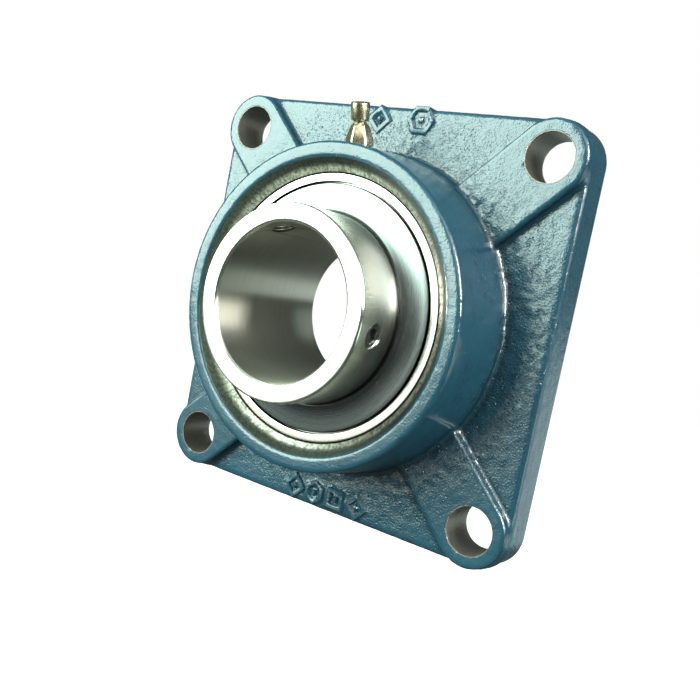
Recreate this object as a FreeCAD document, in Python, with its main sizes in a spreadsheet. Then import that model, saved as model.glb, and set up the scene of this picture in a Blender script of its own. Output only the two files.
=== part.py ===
import FreeCAD, Part
import math
import os
import re
import Sketcher

os.makedirs("parts", exist_ok=True)

# Four-bolt square-flange mounted bearing with a spherical-outside ball insert.
# Every sub-part is drawn with the flange lying on the XY plane, the bore axis along Z and the
# nose of the hub pointing up.  Placing a part in the frame then turns Z to -Y, so that the
# mounting face lies in the plane Y = 0 and the nipple side of the hub points to +Z.
# Lengths are millimetres and angles are degrees.

DIMENSIONS = {
    # flange casting
    "flange_side": 174,
    "corner_radius": 15.5,
    "plate_thickness": 14,
    "plate_edge_round": 1.5,
    "arm_height": 18,
    "arm_width": 30,
    "draft_angle": 3,
    "bolt_spacing": 143,
    "bolt_hole_dia": 19,
    "hub_height": 48,
    "hub_base_radius": 67.8,
    "hub_front_radius": 64.6,
    "hub_root_fillet": 4,
    "rim_round": 1.5,
    "rim_inner_radius": 59,
    "throat_radius": 55.6,
    "throat_depth": 4,
    "back_recess_radius": 61,
    "back_recess_depth": 15,
    "back_recess_floor_radius": 57.5,
    # spherical seat and the ball insert in it
    "seat_depth": 29,
    "seat_clearance": 0.05,
    "insert_dia": 110,
    "outer_ring_width": 27,
    "outer_shoulder_radius": 47.2,
    "seal_recess_radius": 49.8,
    "seal_recess_depth": 3.8,
    "shaft_dia": 60,
    "inner_ring_dia": 75,
    "inner_ring_length": 65.1,
    "inner_ring_tail": 25.4,
    "bore_chamfer": 1,
    "face_chamfer": 0.7,
    "ball_dia": 15.875,
    "pitch_dia": 85,
    "ball_count": 10,
    "ball_clearance": 0.04,
    "groove_radius": 8.2,
    # ball cage
    "cage_inner_radius": 39.9,
    "cage_outer_radius": 45.1,
    "cage_half_width": 8.95,
    "cage_wave_radius": 7,
    "cage_play": 0.15,
    "rivet_seat": 2.2,
    "rivet_dia": 1.8,
    "rivet_head_dia": 3.2,
    "rivet_head_height": 0.7,
    # seals and slingers, measured from the ball plane along the bore axis
    "seal_offset": 9.8,
    "seal_thickness": 0.8,
    "seal_lip_root": 41,
    "seal_lip_gap": 0.04,
    "slinger_radius": 49.2,
    "slinger_sheet": 1,
    "slinger_rim_back": 11.6,
    "slinger_rim_front": 13.5,
    "slinger_collar_back": 11.2,
    "slinger_collar_front": 16.2,
    "slinger_step_radius": 39.6,
    "slinger_step_front": 15,
    # set screws
    "screw_dia": 10,
    "screw_length": 5,
    "screw_play": 0.03,
    "screw_from_front": 10.5,
    "screw_angle": -7,
    "screw_spacing_angle": 120,
    "screw_rest_gap": 1.9,
    "screw_socket_across_flats": 5,
    "screw_socket_depth": 2.6,
    # grease path
    "lube_groove_radius": 56.3,
    "lube_groove_back": 3.5,
    "lube_groove_front": 9.1,
    "lube_hole_dia": 2.2,
    "lube_hole_offset": 8,
    # grease nipple, measured along its own axis from the spot face it sits on
    "nipple_depth": 36,
    "nipple_seat_radius": 65.2,
    "nipple_tilt": 17,
    "nipple_spot_dia": 13.4,
    "nipple_thread_dia": 6,
    "nipple_thread_length": 8,
    "nipple_hex_across_flats": 10,
    "nipple_hex_height": 3.6,
    "nipple_neck_dia": 4.8,
    "nipple_neck_start": 8.2,
    "nipple_neck_end": 9.8,
    "nipple_head_dia": 7.2,
    "nipple_head_start": 11,
    "nipple_head_end": 15.4,
    "nipple_tip_dia": 5.2,
    "nipple_height": 16.8,
    "nipple_bore_dia": 2.6,
    "nipple_mouth_dia": 1.7,
    "nipple_mouth_depth": 1.5,
    "check_ball_dia": 2.4,
    "check_ball_gap": 0.05,
    "spring_outer_dia": 2.3,
    "spring_inner_dia": 1.3,
    "spring_foot": 5,
}

doc = FreeCAD.newDocument("flange_mount_bearing")
sheet = doc.addObject("Spreadsheet::Sheet", "dims")
for row, (alias, value) in enumerate(DIMENSIONS.items(), start=1):
    sheet.set(f"A{row}", alias)
    sheet.set(f"B{row}", str(value))
    sheet.setAlias(f"B{row}", alias)
doc.recompute()

TO_FRAME = FreeCAD.Placement(
    FreeCAD.Vector(0, 0, 0), FreeCAD.Rotation(FreeCAD.Vector(1, 0, 0), 90)
)
NODES = []


def size(alias):
    """The value of one spreadsheet cell."""
    return float(sheet.get(alias))


def expression(text):
    """Write every dimension name in an expression as a reference to its cell."""
    return re.sub(r"[a-z]+(?:_[a-z]+)*", lambda m: name_in_sheet(m.group(0)), text)


def name_in_sheet(word):
    return "dims." + word if word in DIMENSIONS else word


def bind(obj, sizes):
    """Drive properties of an object by the spreadsheet."""
    for prop, text in sizes.items():
        obj.setExpression(prop, expression(text))
    return obj


def finish(obj, local=None):
    """Turn a sub-part from its drawing position into the frame and list it as a node."""
    obj.Placement = TO_FRAME.multiply(local) if local else TO_FRAME
    NODES.append(obj)
    return obj


def new_body(name):
    body = doc.addObject("PartDesign::Body", name)
    body.Label = name
    return body


def origin_item(body, role):
    return [item for item in body.Origin.OriginFeatures if item.Role == role][0]


def new_sketch(body, name, plane):
    sketch = body.newObject("Sketcher::SketchObject", name)
    sketch.AttachmentSupport = [(origin_item(body, plane), "")]
    sketch.MapMode = "FlatFace"
    return sketch


def pin_point(sketch, geometry, point, x_text, y_text):
    """Fix one sketch point at coordinates that the spreadsheet gives."""
    place = sketch.getPoint(geometry, point)
    for kind, start, text in (("DistanceX", place.x, x_text), ("DistanceY", place.y, y_text)):
        index = sketch.addConstraint(
            Sketcher.Constraint(kind, -1, 1, geometry, point, start)
        )
        sketch.setExpression(f"Constraints[{index}]", expression(text))


def turned(name, profile):
    """A body of revolution about Z; the profile lists (radius, height) corners."""
    body = new_body(name)
    sketch = new_sketch(body, name + "_profile", "XZ_Plane")
    count = len(profile)
    ring = [
        FreeCAD.Vector(
            50 + 20 * math.cos(2 * math.pi * i / count),
            50 + 20 * math.sin(2 * math.pi * i / count),
            0,
        )
        for i in range(count)
    ]
    for i in range(count):
        sketch.addGeometry(Part.LineSegment(ring[i], ring[(i + 1) % count]), False)
    for i in range(count):
        sketch.addConstraint(Sketcher.Constraint("Coincident", i, 2, (i + 1) % count, 1))
    for i, (radius, height) in enumerate(profile):
        pin_point(sketch, i, 1, radius, height)
    doc.recompute()
    turn = body.newObject("PartDesign::Revolution", name + "_turn")
    turn.Profile = sketch
    turn.ReferenceAxis = (sketch, ["V_Axis"])
    turn.Angle = 360
    doc.recompute()
    return body


def feature(body, kind, name, sizes, centre=None, rotation=None):
    """Add or cut a primitive in a body; the sizes may also drive its position."""
    item = body.newObject("PartDesign::" + kind, name)
    item.Placement = FreeCAD.Placement(
        centre or FreeCAD.Vector(0, 0, 0), rotation or FreeCAD.Rotation()
    )
    bind(item, sizes)
    return item


def polar(body, features, name):
    """Repeat features once for every ball, round the bore axis."""
    pattern = body.newObject("PartDesign::PolarPattern", name)
    pattern.Originals = features
    pattern.Axis = (origin_item(body, "Z_Axis"), [""])
    pattern.Angle = 360
    bind(pattern, {"Occurrences": "ball_count"})
    body.Tip = pattern
    doc.recompute()
    return pattern


def edges_where(shape, test):
    """Names of the edges whose every sampled point passes the test."""
    names = []
    for number, edge in enumerate(shape.Edges, start=1):
        points = edge.discretize(7)
        if all(test(math.hypot(p.x, p.y), p) for p in points):
            names.append(f"Edge{number}")
    return names


def fillet(body, name, test, radius_name):
    doc.recompute()
    base = body.Tip
    item = body.newObject("PartDesign::Fillet", name)
    item.Base = (base, edges_where(base.Shape, test))
    bind(item, {"Radius": radius_name})
    doc.recompute()
    return item


def radial(angle, radius, height):
    """Placement of a part whose own Z axis points away from the bore axis."""
    turn = FreeCAD.Rotation(FreeCAD.Vector(0, 0, 1), angle)
    lean = FreeCAD.Rotation(FreeCAD.Vector(0, 1, 0), 90)
    place = turn.multVec(FreeCAD.Vector(radius, 0, height))
    return FreeCAD.Placement(place, turn.multiply(lean))


def nipple_place(along=0):
    """Placement on the nipple axis, which leans from the radius toward the nose of the hub."""
    tilt = math.radians(size("nipple_tilt"))
    axis = FreeCAD.Vector(0, math.cos(tilt), math.sin(tilt))
    foot = FreeCAD.Vector(0, size("nipple_seat_radius"), size("nipple_depth"))
    rotation = FreeCAD.Rotation(FreeCAD.Vector(1, 0, 0), size("nipple_tilt") - 90)
    return FreeCAD.Placement(foot + axis * along, rotation)


def flange_plate(body):
    """Square plate with rounded corners, drafted from the mounting face to its front."""
    sketch = new_sketch(body, "flange_outline", "XY_Plane")
    half = 50
    corners = [(-half, -half), (half, -half), (half, half), (-half, half)]
    for i in range(4):
        start = FreeCAD.Vector(*corners[i], 0)
        end = FreeCAD.Vector(*corners[(i + 1) % 4], 0)
        sketch.addGeometry(Part.LineSegment(start, end), False)
    for i in range(4):
        sketch.addConstraint(Sketcher.Constraint("Coincident", i, 2, (i + 1) % 4, 1))
    for i, (x, y) in enumerate(corners):
        x_text = "flange_side / 2" if x > 0 else "-flange_side / 2"
        y_text = "flange_side / 2" if y > 0 else "-flange_side / 2"
        pin_point(sketch, i, 1, x_text, y_text)
    pad = body.newObject("PartDesign::Pad", "flange_pad")
    pad.Profile = sketch
    bind(pad, {"Length": "plate_thickness", "TaperAngle": "-draft_angle"})
    top = size("plate_thickness")
    fillet(body, "flange_corners", lambda r, p: r > size("flange_side") / 2 * 1.3, "corner_radius")
    fillet(
        body, "flange_front_edge", lambda r, p: abs(p.z - top) < 0.01, "plate_edge_round"
    )


def hub(body):
    """Drafted hub with a fillet at its root and a rounded outer rim."""
    feature(
        body, "AdditiveCone", "hub_cone",
        {"Radius1": "hub_base_radius", "Radius2": "hub_front_radius", "Height": "hub_height"},
    )
    plate = size("plate_thickness")
    nose = size("hub_height")
    near_root = size("flange_side") / 2 - 10
    fillet(
        body, "hub_root", lambda r, p: abs(p.z - plate) < 0.01 and r < near_root,
        "hub_root_fillet",
    )
    fillet(body, "hub_rim", lambda r, p: abs(p.z - nose) < 0.01, "rim_round")


def arms(body):
    """Two raised bars across the diagonals; the hub hides their middles."""
    for number, angle in enumerate((45, 135), start=1):
        sketch = new_sketch(body, f"arm_{number}_outline", "XY_Plane")
        sketch.AttachmentOffset = FreeCAD.Placement(
            FreeCAD.Vector(0, 0, 0), FreeCAD.Rotation(FreeCAD.Vector(0, 0, 1), angle)
        )
        reach = 100
        half = 15
        up = FreeCAD.Vector(0, 0, 1)
        right = FreeCAD.Vector(reach, 0, 0)
        left = FreeCAD.Vector(-reach, 0, 0)
        quarter = math.pi / 2
        sketch.addGeometry(
            Part.ArcOfCircle(Part.Circle(right, up, half), -quarter, quarter), False
        )
        sketch.addGeometry(
            Part.ArcOfCircle(Part.Circle(left, up, half), quarter, 3 * quarter), False
        )
        sketch.addGeometry(
            Part.LineSegment(
                FreeCAD.Vector(reach, half, 0), FreeCAD.Vector(-reach, half, 0)
            ),
            False,
        )
        sketch.addGeometry(
            Part.LineSegment(
                FreeCAD.Vector(-reach, -half, 0), FreeCAD.Vector(reach, -half, 0)
            ),
            False,
        )
        for first, first_end, second, second_end in (
            (0, 2, 2, 1), (2, 2, 1, 1), (1, 2, 3, 1), (3, 2, 0, 1)
        ):
            sketch.addConstraint(
                Sketcher.Constraint("Tangent", first, first_end, second, second_end)
            )
        pin_point(sketch, 0, 3, "bolt_spacing / sqrt(2)", "0")
        pin_point(sketch, 1, 3, "-bolt_spacing / sqrt(2)", "0")
        index = sketch.addConstraint(Sketcher.Constraint("Radius", 0, half))
        sketch.setExpression(f"Constraints[{index}]", expression("arm_width / 2"))
        pad = body.newObject("PartDesign::Pad", f"arm_{number}_pad")
        pad.Profile = sketch
        bind(pad, {"Length": "arm_height"})
        doc.recompute()


def bolt_holes(body):
    sketch = new_sketch(body, "bolt_holes_outline", "XY_Plane")
    places = [(x, y) for x in (-60, 60) for y in (-60, 60)]
    for x, y in places:
        circle = Part.Circle(FreeCAD.Vector(x, y, 0), FreeCAD.Vector(0, 0, 1), 9)
        sketch.addGeometry(circle, False)
    for i, (x, y) in enumerate(places):
        x_text = "bolt_spacing / 2" if x > 0 else "-bolt_spacing / 2"
        y_text = "bolt_spacing / 2" if y > 0 else "-bolt_spacing / 2"
        pin_point(sketch, i, 3, x_text, y_text)
        index = sketch.addConstraint(Sketcher.Constraint("Radius", i, 9))
        sketch.setExpression(f"Constraints[{index}]", expression("bolt_hole_dia / 2"))
    pocket = body.newObject("PartDesign::Pocket", "bolt_holes_cut")
    pocket.Profile = sketch
    pocket.Type = "ThroughAll"
    pocket.Midplane = True
    doc.recompute()


def housing():
    body = new_body("housing")
    flange_plate(body)
    hub(body)
    arms(body)
    bolt_holes(body)
    feature(
        body, "SubtractiveCone", "throat",
        {
            "Radius1": "throat_radius",
            "Radius2": "rim_inner_radius",
            "Height": "throat_depth",
            "Placement.Base.z": "hub_height - throat_depth",
        },
    )
    seat_front = "sqrt((insert_dia / 2) ^ 2 - (outer_ring_width / 2) ^ 2)"
    feature(
        body, "SubtractiveCone", "seat_lead_in",
        {
            "Radius1": seat_front,
            "Radius2": "throat_radius",
            "Height": "hub_height - throat_depth - seat_depth - outer_ring_width / 2",
            "Placement.Base.z": "seat_depth + outer_ring_width / 2",
        },
    )
    feature(
        body, "SubtractiveSphere", "seat",
        {"Radius": "insert_dia / 2 + seat_clearance", "Placement.Base.z": "seat_depth"},
    )
    feature(
        body, "SubtractiveCone", "back_recess",
        {
            "Radius1": "back_recess_radius",
            "Radius2": "back_recess_floor_radius",
            "Height": "back_recess_depth",
        },
    )
    feature(
        body, "SubtractiveBox", "filling_slots",
        {
            "Length": "insert_dia + 2 * seat_clearance",
            "Width": "outer_ring_width + 0.6",
            "Height": "seat_depth",
            "Placement.Base.x": "-insert_dia / 2 - seat_clearance",
            "Placement.Base.y": "-outer_ring_width / 2 - 0.3",
        },
    )
    feature(
        body, "SubtractiveCylinder", "lube_groove",
        {
            "Radius": "lube_groove_radius",
            "Height": "lube_groove_front - lube_groove_back",
            "Placement.Base.z": "seat_depth + lube_groove_back",
        },
    )
    spot = nipple_place()
    feature(
        body, "SubtractiveCylinder", "nipple_spot_face",
        {"Radius": "nipple_spot_dia / 2", "Height": "8"}, spot.Base, spot.Rotation,
    )
    bottom = nipple_place(-size("nipple_thread_length") - 4)
    feature(
        body, "SubtractiveCylinder", "nipple_hole",
        {"Radius": "nipple_thread_dia / 2", "Height": "nipple_thread_length + 5"},
        bottom.Base, bottom.Rotation,
    )
    doc.recompute()
    return finish(body)


def outer_ring():
    """Ring with a spherical outside, one ball groove, two seal recesses and a grease hole."""
    ball = bind(
        doc.addObject("Part::Sphere", "outer_ring_sphere"),
        {"Radius": "insert_dia / 2", "Placement.Base.z": "seat_depth"},
    )
    slab = bind(
        doc.addObject("Part::Cylinder", "outer_ring_slab"),
        {
            "Radius": "insert_dia / 2 + 1",
            "Height": "outer_ring_width",
            "Placement.Base.z": "seat_depth - outer_ring_width / 2",
        },
    )
    blank = doc.addObject("Part::Common", "outer_ring_blank")
    blank.Base = ball
    blank.Tool = slab
    bore = bind(
        doc.addObject("Part::Cylinder", "outer_ring_bore"),
        {"Radius": "outer_shoulder_radius", "Height": "2 * seat_depth"},
    )
    groove = bind(
        doc.addObject("Part::Torus", "outer_ring_groove"),
        {
            "Radius1": "(pitch_dia + ball_dia) / 2 + ball_clearance - groove_radius",
            "Radius2": "groove_radius",
            "Placement.Base.z": "seat_depth",
        },
    )
    cuts = [bore, groove]
    recess_front = bind(
        doc.addObject("Part::Cylinder", "outer_ring_front_recess"),
        {
            "Radius": "seal_recess_radius",
            "Height": "seal_recess_depth + 1",
            "Placement.Base.z": "seat_depth + outer_ring_width / 2 - seal_recess_depth",
        },
    )
    recess_rear = bind(
        doc.addObject("Part::Cylinder", "outer_ring_rear_recess"),
        {
            "Radius": "seal_recess_radius",
            "Height": "seal_recess_depth + 1",
            "Placement.Base.z": "seat_depth - outer_ring_width / 2 - 1",
        },
    )
    cuts += [recess_front, recess_rear]
    hole = bind(
        doc.addObject("Part::Cylinder", "outer_ring_lube_hole"),
        {"Radius": "lube_hole_dia / 2", "Height": "insert_dia"},
    )
    hole.Placement = radial(90, 0, size("seat_depth") + size("lube_hole_offset"))
    cuts.append(hole)
    tools = doc.addObject("Part::MultiFuse", "outer_ring_cuts")
    tools.Shapes = cuts
    ring = doc.addObject("Part::Cut", "outer_ring")
    ring.Base = blank
    ring.Tool = tools
    doc.recompute()
    return finish(ring)


def inner_ring():
    """Extended ring with a ground bore, one ball groove and two tapped holes."""
    back = "seat_depth - inner_ring_tail"
    front = "seat_depth - inner_ring_tail + inner_ring_length"
    body = turned(
        "inner_ring",
        [
            ("shaft_dia / 2", back + " + bore_chamfer"),
            ("shaft_dia / 2 + bore_chamfer", back),
            ("inner_ring_dia / 2 - face_chamfer", back),
            ("inner_ring_dia / 2", back + " + face_chamfer"),
            ("inner_ring_dia / 2", front + " - face_chamfer"),
            ("inner_ring_dia / 2 - face_chamfer", front),
            ("shaft_dia / 2 + bore_chamfer", front),
            ("shaft_dia / 2", front + " - bore_chamfer"),
        ],
    )
    feature(
        body, "SubtractiveTorus", "inner_ring_groove",
        {
            "Radius1": "(pitch_dia - ball_dia) / 2 - ball_clearance + groove_radius",
            "Radius2": "groove_radius",
            "Placement.Base.z": "seat_depth",
        },
    )
    for number in (0, 1):
        place = screw_place(number, size("shaft_dia") / 2 - 2)
        feature(
            body, "SubtractiveCylinder", f"inner_ring_tapped_hole_{number + 1}",
            {"Radius": "screw_dia / 2", "Height": "12"}, place.Base, place.Rotation,
        )
    doc.recompute()
    return finish(body)


def screw_place(number, radius):
    angle = size("screw_angle") + number * size("screw_spacing_angle")
    front = size("seat_depth") - size("inner_ring_tail") + size("inner_ring_length")
    return radial(angle, radius, front - size("screw_from_front"))


def set_screw(number):
    """Headless screw with a hex socket; its own Z axis points away from the shaft."""
    name = "setscrew_" + "ab"[number]
    body = turned(
        name,
        [
            ("0", "0"),
            ("screw_dia / 2 - 1.6", "0"),
            ("screw_dia / 2 - screw_play", "1.2"),
            ("screw_dia / 2 - screw_play", "screw_length - 0.4"),
            ("screw_dia / 2 - 0.5", "screw_length"),
            ("0", "screw_length"),
        ],
    )
    feature(
        body, "SubtractivePrism", name + "_socket",
        {
            "Circumradius": "screw_socket_across_flats / sqrt(3)",
            "Height": "screw_socket_depth",
            "Placement.Base.z": "screw_length - screw_socket_depth",
        },
    )
    doc.recompute()
    return finish(body, screw_place(number, size("shaft_dia") / 2 + size("screw_rest_gap")))


def slinger(name, side):
    """Pressed steel disc on the inner ring; side is 1 at the nose and -1 at the flange."""
    sign = "+" if side > 0 else "-"
    ring = "inner_ring_dia / 2"
    outline = [
        (ring, "slinger_collar_back"),
        (ring, "slinger_collar_front"),
        (ring + " + slinger_sheet", "slinger_collar_front"),
        ("slinger_step_radius", "slinger_step_front"),
        ("slinger_radius - 0.6", "slinger_rim_front"),
        ("slinger_radius", "slinger_rim_front - 0.5"),
        ("slinger_radius", "slinger_rim_back"),
        ("slinger_radius - slinger_sheet", "slinger_rim_back"),
        ("slinger_radius - slinger_sheet", "slinger_rim_front - slinger_sheet"),
        ("slinger_step_radius - 0.4", "slinger_step_front - slinger_sheet"),
        (ring + " + slinger_sheet", "slinger_step_front - 1.5 * slinger_sheet"),
        (ring + " + slinger_sheet", "slinger_collar_back"),
    ]
    profile = [(radius, f"seat_depth {sign} ({offset})") for radius, offset in outline]
    return finish(turned(name, profile))


def seal_plate(name, side):
    sign = "+" if side > 0 else "-"
    near = f"seat_depth {sign} seal_offset"
    far = f"seat_depth {sign} (seal_offset + seal_thickness)"
    profile = [
        ("seal_lip_root", near),
        ("seal_recess_radius", near),
        ("seal_recess_radius", far),
        ("seal_lip_root", far),
    ]
    return finish(turned(name, profile))


def seal_lip(name, side):
    """Rubber lip on the inner edge of the seal plate; it just clears the inner ring."""
    sign = "+" if side > 0 else "-"
    touch = "inner_ring_dia / 2 + seal_lip_gap"
    outline = [
        ("seal_lip_root", "seal_offset - 0.3"),
        ("seal_lip_root", "seal_offset + seal_thickness + 0.3"),
        (touch + " + 1.2", "seal_offset + seal_thickness + 0.2"),
        (touch, "seal_offset + seal_thickness + 0.4"),
        (touch, "seal_offset + seal_thickness"),
        (touch + " + 0.8", "seal_offset + seal_thickness / 2"),
        (touch, "seal_offset - 0.1"),
        (touch, "seal_offset - 0.5"),
        (touch + " + 1.2", "seal_offset - 0.3"),
    ]
    profile = [(radius, f"seat_depth {sign} ({offset})") for radius, offset in outline]
    return finish(turned(name, profile))


def ball_angle(number):
    return 90 + 360 * number / size("ball_count")


def ball(number):
    name = f"ball_{number + 1:02d}"
    item = doc.addObject("Part::Sphere", name)
    item.Label = name
    bind(item, {"Radius": "ball_dia / 2"})
    angle = math.radians(ball_angle(number))
    radius = size("pitch_dia") / 2
    centre = FreeCAD.Vector(
        radius * math.cos(angle), radius * math.sin(angle), size("seat_depth")
    )
    return finish(item, FreeCAD.Placement(centre, FreeCAD.Rotation()))


def between_balls(height):
    angle = math.radians(ball_angle(0) + 180 / size("ball_count"))
    radius = size("pitch_dia") / 2
    return FreeCAD.Vector(radius * math.cos(angle), radius * math.sin(angle), height)


def cage_half(name, side):
    """Half of the ball cage: a ribbon that waves over every ball and is riveted in between."""
    far = f"seat_depth {'+' if side > 0 else '-'} cage_half_width"
    body = turned(
        name,
        [
            ("cage_inner_radius", "seat_depth"),
            ("cage_outer_radius", "seat_depth"),
            ("cage_outer_radius", far),
            ("cage_inner_radius", far),
        ],
    )
    angle = math.radians(ball_angle(0))
    radius = size("pitch_dia") / 2
    pocket = feature(
        body, "SubtractiveSphere", name + "_pocket", {"Radius": "ball_dia / 2 + cage_play"},
        FreeCAD.Vector(radius * math.cos(angle), radius * math.sin(angle), size("seat_depth")),
    )
    doc.recompute()
    polar(body, [pocket], name + "_pockets")
    middle = ball_angle(0) + 180 / size("ball_count")
    crest = size("seat_depth") + side * size("cage_half_width")
    across = radial(middle, size("cage_inner_radius") - 3, crest)
    dip = feature(
        body, "SubtractiveCylinder", name + "_dip",
        {"Radius": "cage_wave_radius", "Height": "cage_outer_radius - cage_inner_radius + 6"},
        across.Base, across.Rotation,
    )
    doc.recompute()
    polar(body, [dip], name + "_dips")
    hole = feature(
        body, "SubtractiveCylinder", name + "_rivet_hole",
        {"Radius": "rivet_dia / 2", "Height": "2 * cage_half_width"},
        between_balls(size("seat_depth") - size("cage_half_width")),
    )
    doc.recompute()
    polar(body, [hole], name + "_rivet_holes")
    return finish(body)


def cage_rivets():
    """All the rivets, each with a shank through both cage halves and a head at each end."""
    body = new_body("cage_rivets")
    body.AllowCompound = True
    low = size("seat_depth") - size("rivet_seat")
    high = size("seat_depth") + size("rivet_seat")
    shank = feature(
        body, "AdditiveCylinder", "rivet_shank",
        {"Radius": "rivet_dia / 2", "Height": "2 * rivet_seat"}, between_balls(low),
    )
    heads = []
    for name, foot in (("front", high), ("rear", low - size("rivet_head_height"))):
        head = feature(
            body, "AdditiveCylinder", f"rivet_head_{name}",
            {"Radius": "rivet_head_dia / 2", "Height": "rivet_head_height"},
            between_balls(foot),
        )
        heads.append(head)
    doc.recompute()
    polar(body, [shank] + heads, "rivet_pattern")
    return finish(body)


def grease_nipple_body():
    """Hex base, waisted neck and gripping head, bored through for the check ball."""
    body = turned(
        "grease_nipple_body",
        [
            ("nipple_bore_dia / 2", "-nipple_thread_length"),
            ("nipple_thread_dia / 2", "-nipple_thread_length"),
            ("nipple_thread_dia / 2", "0"),
            ("nipple_hex_across_flats / 2", "0"),
            ("nipple_hex_across_flats / 2 - 0.4", "nipple_hex_height"),
            ("nipple_neck_dia / 2", "nipple_neck_start"),
            ("nipple_neck_dia / 2", "nipple_neck_end"),
            ("nipple_head_dia / 2", "nipple_head_start"),
            ("nipple_head_dia / 2", "nipple_head_end"),
            ("nipple_tip_dia / 2", "nipple_height"),
            ("nipple_mouth_dia / 2", "nipple_height"),
            ("nipple_mouth_dia / 2", "nipple_height - nipple_mouth_depth"),
            ("nipple_bore_dia / 2", "nipple_height - nipple_mouth_depth"),
        ],
    )
    hexagon = new_sketch(body, "nipple_hex_outline", "XY_Plane")
    corner = size("nipple_hex_across_flats") / math.sqrt(3)
    points = [
        FreeCAD.Vector(
            corner * math.cos(math.radians(60 * i)), corner * math.sin(math.radians(60 * i)), 0
        )
        for i in range(6)
    ]
    for i in range(6):
        hexagon.addGeometry(Part.LineSegment(points[i], points[(i + 1) % 6]), False)
    for i in range(6):
        hexagon.addConstraint(Sketcher.Constraint("Coincident", i, 2, (i + 1) % 6, 1))
        across = "nipple_hex_across_flats / sqrt(3)"
        pin_point(
            hexagon, i, 1, f"{across} * cos({60 * i} deg)", f"{across} * sin({60 * i} deg)"
        )
    hexagon.addGeometry(
        Part.Circle(FreeCAD.Vector(0, 0, 0), FreeCAD.Vector(0, 0, 1), 2), False
    )
    hexagon.addConstraint(Sketcher.Constraint("Coincident", 6, 3, -1, 1))
    index = hexagon.addConstraint(Sketcher.Constraint("Radius", 6, 2))
    hexagon.setExpression(f"Constraints[{index}]", expression("nipple_bore_dia / 2"))
    doc.recompute()
    pad = body.newObject("PartDesign::Pad", "nipple_hex")
    pad.Profile = hexagon
    bind(pad, {"Length": "nipple_hex_height", "TaperAngle": "-4"})
    doc.recompute()
    return finish(body, nipple_place())


def check_ball():
    item = doc.addObject("Part::Sphere", "nipple_check_ball")
    bind(item, {"Radius": "check_ball_dia / 2"})
    top = size("nipple_height") - size("nipple_mouth_depth")
    along = top - size("check_ball_dia") / 2 - size("check_ball_gap")
    return finish(item, nipple_place(along))


def nipple_spring():
    """Coil spring below the check ball, drawn as the sleeve that its coils fill."""
    top = "nipple_height - nipple_mouth_depth - check_ball_dia - 2 * check_ball_gap"
    body = turned(
        "nipple_spring",
        [
            ("spring_inner_dia / 2", "spring_foot"),
            ("spring_outer_dia / 2", "spring_foot"),
            ("spring_outer_dia / 2", top),
            ("spring_inner_dia / 2", top),
        ],
    )
    return finish(body, nipple_place())


housing()
grease_nipple_body()
check_ball()
nipple_spring()
outer_ring()
inner_ring()
for index in range(int(size("ball_count"))):
    ball(index)
cage_half("cage_front", 1)
cage_half("cage_rear", -1)
cage_rivets()
for label, direction in (("front", 1), ("rear", -1)):
    seal_plate("seal_plate_" + label, direction)
    seal_lip("seal_lip_" + label, direction)
    slinger("slinger_" + label, direction)
for index in (0, 1):
    set_screw(index)

doc.recompute()
for obj in doc.Objects:
    if "Invalid" in obj.State or "Error" in obj.State:
        raise RuntimeError(f"{obj.Name} did not compute: {obj.State}")
for node in NODES:
    if node.Shape.isNull() or not node.Shape.isValid():
        raise RuntimeError(f"{node.Label} has no valid shape")
    node.Shape.exportStep(f"parts/{node.Label}.step")
    print(node.Label, round(node.Shape.Volume, 2), len(node.Shape.Solids))
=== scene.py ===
import math

import bmesh
import bpy
import numpy as np
from mathutils import Matrix, Vector


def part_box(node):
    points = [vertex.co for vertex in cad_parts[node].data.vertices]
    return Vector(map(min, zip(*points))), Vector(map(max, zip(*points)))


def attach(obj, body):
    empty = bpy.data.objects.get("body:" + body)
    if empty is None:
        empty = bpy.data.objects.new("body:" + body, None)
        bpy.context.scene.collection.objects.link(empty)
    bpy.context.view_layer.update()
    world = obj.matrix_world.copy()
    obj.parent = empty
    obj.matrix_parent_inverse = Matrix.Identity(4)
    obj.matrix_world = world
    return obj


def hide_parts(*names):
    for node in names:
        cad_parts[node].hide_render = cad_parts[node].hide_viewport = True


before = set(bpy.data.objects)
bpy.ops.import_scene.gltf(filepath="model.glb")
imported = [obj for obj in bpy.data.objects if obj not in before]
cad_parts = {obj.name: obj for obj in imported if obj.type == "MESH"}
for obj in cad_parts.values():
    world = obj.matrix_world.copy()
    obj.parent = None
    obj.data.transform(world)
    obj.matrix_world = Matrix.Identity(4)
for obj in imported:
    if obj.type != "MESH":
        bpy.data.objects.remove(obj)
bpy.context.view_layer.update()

# Shapes are worked out in millimetres in bearing coordinates: x to the right, up, and depth out of
# the mounting face toward the nose of the hub.  to_frame() turns those into the row frame.
MM = 0.001

# ---------------------------------------------------------------- driving sizes, in millimetres
HOUSING_LOW, HOUSING_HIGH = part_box("housing")
FLANGE_HALF = (HOUSING_HIGH[0] - HOUSING_LOW[0]) / 2 / MM
HUB_HEIGHT = -HOUSING_LOW[1] / MM
CORNER_RADIUS = 15.5
PLATE_THICKNESS = 14.0
DRAFT = math.tan(math.radians(3))
ARM_HEIGHT = 18.0
ARM_HALF_WIDTH = 15.0
ARM_DRAFT = 0.12
ARM_ROOT = 3.0
BOLT_OFFSET = 71.5
BOLT_HOLE_RADIUS = 9.5
HUB_BASE_RADIUS = 67.8
HUB_FRONT_RADIUS = 64.6
RIM_INNER_RADIUS = 59.0
THROAT_RADIUS = 55.6
THROAT_DEPTH = 4.0
BACK_RECESS_RADIUS = 61.0
BACK_RECESS_FLOOR_RADIUS = 57.5
BACK_RECESS_DEPTH = 15.0

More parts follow.
